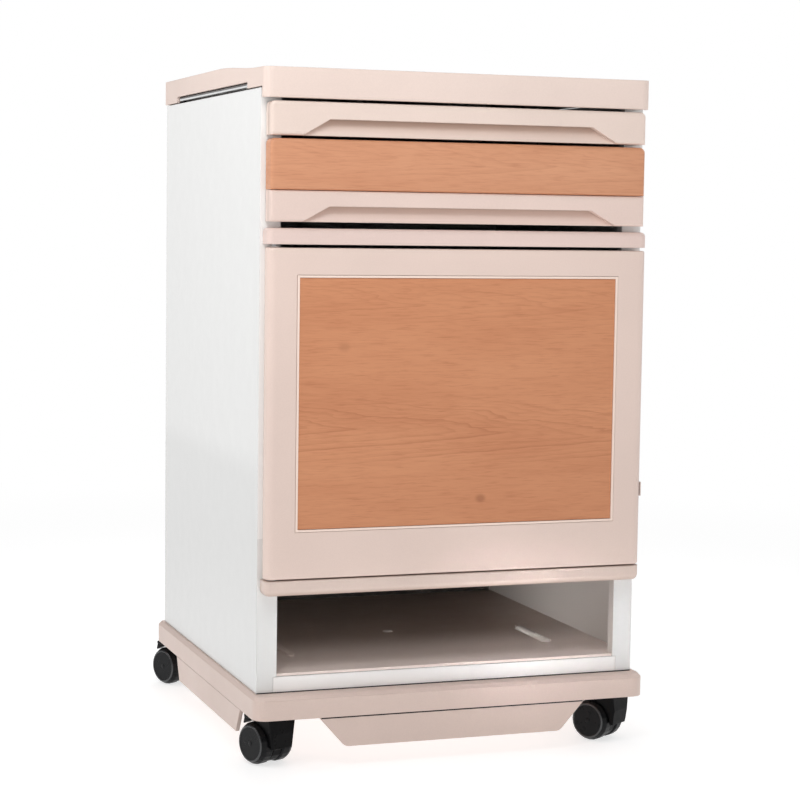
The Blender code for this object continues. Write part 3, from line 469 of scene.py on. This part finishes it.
def screws(name, mesh, body, places, facing):
    """One screw at each place, all turned the same way."""
    for i, at in enumerate(places):
        piece(f"{name}_{i}", mesh, FIXING_ZINC, body, at, facing)


def shaded(bm, name, crease=50):
    """A bmesh as a mesh, smooth but for edges sharper than crease, in degrees."""
    mesh = bpy.data.meshes.new(name)
    bm.to_mesh(mesh)
    bm.free()
    mesh.shade_smooth()
    mesh.set_sharp_from_angle(angle=radians(crease))
    return mesh


def soften(bm, size):
    bmesh.ops.bevel(bm, geom=bm.edges[:], offset=size, segments=2, profile=0.5,
                    affect="EDGES", clamp_overlap=True)


def join_rings(bm, low, high):
    """Faces between two closed rings with the same number of points."""
    for i in range(len(low)):
        j = (i + 1) % len(low)
        bm.faces.new((low[i], low[j], high[j], high[i]))


def round_mesh(name, profile, steps=24, closed=False):
    """A solid turned about Z from (radius, z) points; closed joins the last to the first."""
    bm = bmesh.new()
    rows = []
    for radius, z in profile:
        if radius == 0:
            rows.append([bm.verts.new((0, 0, z))] * steps)
        else:
            rows.append([bm.verts.new((radius * cos(2 * pi * i / steps),
                                       radius * sin(2 * pi * i / steps), z))
                         for i in range(steps)])
    pairs = list(zip(rows, rows[1:]))
    if closed:
        pairs.append((rows[-1], rows[0]))
    for low, high in pairs:
        for i in range(steps):
            j = (i + 1) % steps
            corners = []
            for vert in (low[i], low[j], high[j], high[i]):
                if vert not in corners:
                    corners.append(vert)
            if len(corners) > 2:
                bm.faces.new(corners)
    bmesh.ops.recalc_face_normals(bm, faces=bm.faces)
    return shaded(bm, name, crease=40)


def box_mesh(name, low, high, soft=0.0004):
    """A box between two corners with softened edges."""
    low, high = Vector(low), Vector(high)
    bm = bmesh.new()
    bmesh.ops.create_cube(bm, size=1.0)
    bmesh.ops.scale(bm, vec=high - low, verts=bm.verts)
    bmesh.ops.translate(bm, vec=(low + high) / 2, verts=bm.verts)
    if soft:
        soften(bm, soft)
    return shaded(bm, name)


def prism_mesh(name, outline, low, high, soft):
    """An outline of (x, z) points drawn out along Y from low to high."""
    bm = bmesh.new()
    near = [bm.verts.new((x, low, z)) for x, z in outline]
    far = [bm.verts.new((x, high, z)) for x, z in outline]
    bm.faces.new(near)
    bm.faces.new(far[::-1])
    join_rings(bm, near, far)
    bmesh.ops.recalc_face_normals(bm, faces=bm.faces)
    soften(bm, soft)
    return shaded(bm, name)


# sections of a rounded strip: place along it and size, both as shares
STRIP_SECTIONS = ((-0.5, 0.25), (-0.47, 0.85), (-0.44, 1.0), (0.44, 1.0), (0.47, 0.85), (0.5, 0.25))


def rounded_strip_mesh(name, length, width, height, steps=8):
    """A low bar along X with a half-round section and tapered ends, lying on z = 0."""
    bm = bmesh.new()
    rows = []
    for place, size in STRIP_SECTIONS:
        rows.append([bm.verts.new((place * length, -0.5 * width * size * cos(pi * i / steps),
                                   height * size * sin(pi * i / steps)))
                     for i in range(steps + 1)])
    for low, high in zip(rows, rows[1:]):
        join_rings(bm, low, high)
    bm.faces.new(rows[0])
    bm.faces.new(rows[-1][::-1])
    bmesh.ops.recalc_face_normals(bm, faces=bm.faces)
    return shaded(bm, name)


def screw_mesh(name, radius):
    """A low pan head with a cross recess."""
    head = round_mesh(name + "_head", [(0, radius * 0.45), (radius * 0.45, radius * 0.42),
                                       (radius * 0.80, radius * 0.28), (radius, radius * 0.06),
                                       (radius, -radius * 0.05), (0, -radius * 0.05)], 20)
    arm, wide, deep = radius * 0.55, radius * 0.11, radius * 0.10
    outline = [(-arm, -wide), (-wide, -wide), (-wide, -arm), (wide, -arm), (wide, -wide),
               (arm, -wide), (arm, wide), (wide, wide), (wide, arm), (-wide, arm),
               (-wide, wide), (-arm, wide)]
    bm = bmesh.new()
    low = [bm.verts.new((x, y, deep)) for x, y in outline]
    high = [bm.verts.new((x, y, radius)) for x, y in outline]
    bm.faces.new(low[::-1])
    bm.faces.new(high)
    join_rings(bm, low, high)
    cross = bpy.data.meshes.new(name + "_cross")
    bm.to_mesh(cross)
    bm.free()
    body = bpy.data.objects.new(name + "_body", head)
    tool = bpy.data.objects.new(name + "_tool", cross)
    for obj in (body, tool):
        bpy.context.scene.collection.objects.link(obj)
    cut = body.modifiers.new("cut", "BOOLEAN")
    cut.operation, cut.solver, cut.object = "DIFFERENCE", "EXACT", tool
    bpy.context.view_layer.update()
    done = body.evaluated_get(bpy.context.evaluated_depsgraph_get())
    mesh = bpy.data.meshes.new_from_object(done)
    mesh.name = name
    for obj in (body, tool):
        bpy.data.objects.remove(obj, do_unlink=True)
    return mesh


# ---------------------------------------------------------------- detail pieces
def back_details():
    """Pressed beads and screws on the back, seen from behind."""
    face = BOX["back_panel"][1].y
    bead = rounded_strip_mesh("back_bead", length=0.40, width=0.014, height=0.0016)
    for i, z in enumerate((0.24, 0.44, 0.64)):
        piece(f"back_bead_{i}", bead, WHITE, "carcass", (0, face, z), BACKWARD)
    small = screw_mesh("back_screw", radius=0.0034)
    flange_x, flange_y = 0.2310, BOX["left_side_panel"][1].y
    for side, sign in SIDES:
        places = [(sign * flange_x, flange_y, z) for z in (0.13, 0.29, 0.45, 0.61, 0.76)]
        screws(f"back_screw_{side}", small, "carcass", places, BACKWARD)
    low_row = 0.100
    places = [(x, face, low_row) for x in (-0.15, 0.0, 0.15)]
    screws("back_screw_low", small, "carcass", places, BACKWARD)


WHEEL_FACE = 0.0080          # from a wheel's middle to the face of its outer disc
RIM_PROFILE = [(0.0192, -0.0002), (0.0194, 0.0005), (0.0201, 0.0009), (0.0210, 0.0006),
               (0.0219, -0.0004)]
CAP_PROFILE = [(0, 0.0002), (0.0030, 0.0002), (0.0033, 0.0001), (0.0033, -0.0002),
               (0, -0.0002)]
# outline of a pedal cheek: distance behind the swivel, height. Its underside keeps
# clear of the wheel while the pedal goes down.
CHEEK = ((0.0232, 0.0530), (0.0262, 0.0494), (0.0285, 0.0489), (0.0315, 0.0478),
         (0.0345, 0.0463), (0.0366, 0.0450), (0.0374, 0.0466), (0.0352, 0.0535))
CHEEK_INNER, CHEEK_OUTER = 0.0085, 0.0179    # a cheek's two sides, from the caster's middle


def caster_details():
    """A raised rim and hub cap on each wheel's disc, and cheeks below each pedal."""
    rim = round_mesh("wheel_rim", RIM_PROFILE, steps=48, closed=True)
    cap = round_mesh("hub_cap", CAP_PROFILE)
    for name in CASTERS:
        for side, sign in SIDES:
            joint = JOINTS[f"roll_{name}_{side}"]
            axis = Vector(joint["axis"]) * sign
            face = Vector(joint["pos_m"]) + axis * WHEEL_FACE
            body = f"wheel_{name}_{side[0]}"
            piece(f"wheel_rim_{name}_{side}", rim, RIM_HIGHLIGHT_GREY, body, face, axis)
            piece(f"hub_cap_{name}_{side}", cap, BLACK, body, face, axis)
        across = Vector(JOINTS[f"roll_{name}_left"]["axis"])
        trail = Vector((-across.y, across.x, 0))
        swivel = Vector(JOINTS[f"swivel_{name}"]["pos_m"])
        # trail, -across and up are right-handed, so the mesh isn't turned inside out
        turn = Matrix((trail, -across, Vector((0, 0, 1)))).transposed().to_4x4()
        turn.translation = (swivel.x, swivel.y, 0)
        for side, sign in SIDES:
            low, high = sorted((-sign * CHEEK_INNER, -sign * CHEEK_OUTER))
            cheek = prism_mesh(f"pedal_cheek_{side}", CHEEK, low, high, soft=0.0005)
            cheek.transform(turn)
            piece(f"pedal_cheek_{name}_{side}", cheek, HOOD_BLACK, f"brake_{name}")


TRAY_STOP_AT, TRAY_STUD_AT = (0.1655, -0.1095), (-0.0060, -0.0375)
TRAY_RIBS = 0.0020           # height of the tray's own ribs, its highest part, over its floor
STUD_PROFILE = [(0, 0.0016), (0.0040, 0.0015), (0.0060, 0.0010), (0.0068, 0.0),
                (0.0068, -0.0002), (0, -0.0002)]


def compartment_details():
    """Painted shadow strips in the gaps above and below the base moulding, and two raised marks on
    the tray.
    """
    left, right = BOX["left_side_panel"][0], BOX["right_side_panel"][1]
    inset = 0.0006
    # painted shadow: dark strips where the gaps' shade falls, above and below the base
    shade_strip = box_mesh("base_shade_strip", (left.x + inset, left.y - 0.0004, BASE_TOP - 0.0001),
                    (right.x - inset, left.y + 0.0010, BASE_TOP + 0.0012), 0)
    piece("base_shade_strip", shade_strip, GAP_SHADE, "carcass")
    low, high = BOX["front_skirt"]
    inset = 0.002
    shade_strip = box_mesh("skirt_shade_strip", (low.x + inset, low.y - 0.0005, high.z - 0.0013),
                    (high.x - inset, low.y + 0.0010, high.z + 0.0002), 0)
    piece("skirt_shade_strip", shade_strip, GAP_SHADE, "carcass")
    floor = BOX["bottom_tray"][1].z - TRAY_RIBS
    stop = rounded_strip_mesh("tray_stop", length=0.095, width=0.013, height=0.0042)
    stop.transform(Matrix.Rotation(radians(90), 4, "Z"))
    piece("tray_stop", stop, STOP_PINK, "carcass", (*TRAY_STOP_AT, floor))
    stud = round_mesh("tray_stud", STUD_PROFILE)
    piece("tray_stud", stud, STOP_PINK, "carcass", (*TRAY_STUD_AT, floor))


SHEET = 0.0021               # a side panel's thickness and a little play
PEG_PROFILE = [(0, 0.0), (0.0055, 0.0), (0.0055, 0.0016), (0.0030, 0.0020), (0.0030, 0.0120),
               (0.0025, 0.0126), (0, 0.0126)]
WASHER_PROFILE = [(0.0031, 0.0), (0.0052, 0.0), (0.0052, 0.0010), (0.0031, 0.0010)]


def cabinet_details():
    """Shelf pegs, the catch's poles and screw, and washers on the hinge pins."""
    shelf = BOX["cabinet_shelf"]
    peg = round_mesh("shelf_peg", PEG_PROFILE, steps=16)
    peg_x = -BOX["left_side_panel"][0].x - SHEET
    peg_z = shelf[0].z - 0.0034
    from_end = 0.060
    for side, sign in SIDES:
        for where, y in (("front", shelf[0].y + from_end), ("back", shelf[1].y - from_end)):
            piece(f"shelf_peg_{side}_{where}", peg, FIXING_ZINC, "carcass",
                  (sign * peg_x, y, peg_z), (-sign, 0, 0))
    low, high = BOX["magnet_catch"]
    middle = (low.x + high.x) / 2
    for i, z in enumerate((low.z + 0.010, high.z - 0.010)):
        pole = box_mesh(f"catch_pole_{i}", (middle - 0.008, low.y - 0.0003, z - 0.0012),
                        (middle + 0.008, low.y + 0.0010, z + 0.0012), 0.0002)
        piece(f"catch_pole_{i}", pole, FIXING_ZINC, "carcass")
    small = screw_mesh("catch_screw", radius=0.0022)
    screws("catch_screw", small, "carcass", [(middle, low.y, (low.z + high.z) / 2)], FORWARD)
    hinge_x, hinge_y, _ = JOINTS["door_hinge"]["pos_m"]
    washer = round_mesh("hinge_washer", WASHER_PROFILE, closed=True)
    above = 0.0004
    for where, part in (("low", "lower_lip"), ("high", "door_frame")):
        piece(f"hinge_washer_{where}", washer, WHITE_PLASTIC, "door",
              (hinge_x, hinge_y, BOX[part][1].z + above))


def door_and_drawer_details():
    """Screws on the door's liner, in the drawer's front and in the board's guides, ribs
    in the drawer and stops under the board."""
    low, high = BOX["door_liner"]
    small = screw_mesh("liner_screw", radius=0.0030)
    edge = 0.008
    xs = (low.x + edge, 0.0, high.x - edge)
    zs = (low.z + edge, (low.z + high.z) / 2 - 0.05, high.z - edge)
    places = [(x, high.y, z) for x in xs for z in zs if (x, z) != (xs[1], zs[1])]
    screws("liner_screw", small, "door", places, BACKWARD)
    low, high = BOX["drawer_box"]
    wall = 0.0030
    places = [(x, low.y + wall, z) for x in (-0.15, -0.05, 0.05, 0.15) for z in (0.660, 0.700)]
    screws("front_screw", small, "drawer", places, BACKWARD)
    rib = rounded_strip_mesh("drawer_rib", length=0.34, width=0.006, height=0.0012)
    rib.transform(Matrix.Rotation(radians(90), 4, "Z"))
    for i, x in enumerate((-0.10, 0.0, 0.10)):
        piece(f"drawer_rib_{i}", rib, WHITE_PLASTIC, "drawer",
              (x, (low.y + high.y) / 2, low.z + wall))
    low, high = BOX["dining_board"]
    stop_x, half = 0.160, 0.010
    for side, sign in SIDES:
        guide = BOX[f"board_guide_{side}"]
        inner = guide[1].x if sign < 0 else guide[0].x
        places = [(inner, y, guide[0].z + 0.0033) for y in (-0.16, 0.0, 0.16)]
        screws(f"guide_screw_{side}", screw_mesh("guide_screw", radius=0.0018), "carcass",
               places, (-sign, 0, 0))
        stop = box_mesh("board_stop", (sign * stop_x - half, high.y - 0.016, low.z - 0.0020),
                        (sign * stop_x + half, high.y - 0.006, low.z), 0.0006)
        piece(f"board_stop_{side}", stop, GREY, "board")


back_details()
caster_details()
compartment_details()
cabinet_details()
door_and_drawer_details()


# ---------------------------------------------------------------- studio
SKY = 0.22                   # world strength overhead; it is white near the horizon
HORIZON = (0.105, 0.165)     # sines of the elevations between which it falls to that
FLOOR_RADIUS, FLOOR_DROP = 40.0, 0.0002
FLOOR_GLOW = 0.70            # how much of the floor's white is its own, near the cabinet
FLOOR_TO_WHITE = (0.6, 2.4)  # m: from here to here it turns all white

# name, place, aimed at, width, height, power in watts, spread in degrees
LIGHTS = (
    ("front_key", (-0.54, -0.97, 1.30), (-0.08, -0.27, 0.68), 0.5, 0.5, 4.95, 180),
    ("side_key", (-1.35, -0.10, 1.45), (-0.24, 0, 0.60), 0.8, 0.8, 6.2, 180),
    ("right_fill", (1.45, 0.10, 1.45), (0.24, 0, 0.60), 0.8, 0.8, 6.5, 180),
    ("back_fill", (0.25, 1.45, 1.45), (0, 0.2, 0.60), 0.8, 0.8, 6.5, 180),
    ("brow", (0.00, -0.80, 1.26), (0.00, -0.25, 0.78), 0.3, 0.3, 0.60, 180),
    ("low_fill", (-0.20, -1.30, 0.22), (0.02, -0.20, 0.150), 0.5, 0.05, 0.029, 11),
    ("inner_fill", (-0.60, -1.35, 0.24), (0.15, -0.16, 0.148), 0.1, 0.1, 0.0345, 9),
    ("top_fill", (0, 0, 2.2), (0, 0, 0.8), 0.5, 0.5, 6.5, 180),
)


def place_light(name, at, to, width, height, power, spread):
    data = bpy.data.lights.new(name, "AREA")
    data.energy = power
    data.shape = "RECTANGLE"
    data.size, data.size_y = width, height
    data.spread = radians(spread)
    light = bpy.data.objects.new(name, data)
    light.location = at
    aim = Vector(to) - Vector(at)
    light.rotation_euler = aim.to_track_quat("-Z", "Y").to_euler()
    bpy.context.scene.collection.objects.link(light)


def lay_floor():
    """A wide pale floor that runs out to white."""
    bm = bmesh.new()
    bmesh.ops.create_circle(bm, cap_ends=True, segments=96, radius=FLOOR_RADIUS)
    mesh = bpy.data.meshes.new("floor")
    bm.to_mesh(mesh)
    bm.free()
    floor = bpy.data.objects.new("floor", mesh)
    floor.location = (0, 0, -FLOOR_DROP)
    bpy.context.scene.collection.objects.link(floor)
    s = Shader("floor_look", roughness=0.6)
    s.main.inputs["Base Color"].default_value = (0.50, 0.50, 0.50, 1)
    s.main.inputs["Emission Color"].default_value = (1, 1, 1, 1)
    s.main.inputs["Emission Strength"].default_value = FLOOR_GLOW
    x, y, _ = s.split()
    far = s.math("SQRT", s.math("ADD", s.math("MULTIPLY", x, x), s.math("MULTIPLY", y, y)))
    glow = s.new("ShaderNodeEmission")
    glow.inputs["Color"].default_value = (1, 1, 1, 1)
    glow.inputs["Strength"].default_value = 1.0
    blend = s.new("ShaderNodeMixShader")
    s.put(blend.inputs[0], s.spread(far, *FLOOR_TO_WHITE, smooth=True))
    s.put(blend.inputs[1], s.main.outputs[0])
    s.put(blend.inputs[2], glow.outputs[0])
    out = [n for n in s.tree.nodes if n.type == "OUTPUT_MATERIAL"][0]
    s.put(out.inputs["Surface"], blend.outputs[0])
    mesh.materials.append(s.material)


def hang_sky():
    """A world that is white up to just above the horizon and grey overhead."""
    world = bpy.data.worlds.new("studio")
    bpy.context.scene.world = world
    world.use_nodes = True
    tree = world.node_tree
    back = tree.nodes["Background"]
    place = tree.nodes.new("ShaderNodeTexCoord")
    split = tree.nodes.new("ShaderNodeSeparateXYZ")
    rise = tree.nodes.new("ShaderNodeMapRange")
    rise.interpolation_type = "SMOOTHSTEP"
    for key, value in zip(("From Min", "From Max", "To Min", "To Max"), (*HORIZON, 1.0, SKY)):
        rise.inputs[key].default_value = value
    tree.links.new(place.outputs["Generated"], split.inputs[0])
    tree.links.new(split.outputs["Z"], rise.inputs["Value"])
    back.inputs["Color"].default_value = (1, 1, 1, 1)
    tree.links.new(rise.outputs["Result"], back.inputs["Strength"])


place_camera()
lay_floor()
hang_sky()
for row in LIGHTS:
    place_light(*row)
bpy.context.scene.view_settings.view_transform = "Standard"
bpy.context.scene.view_settings.look = "None"
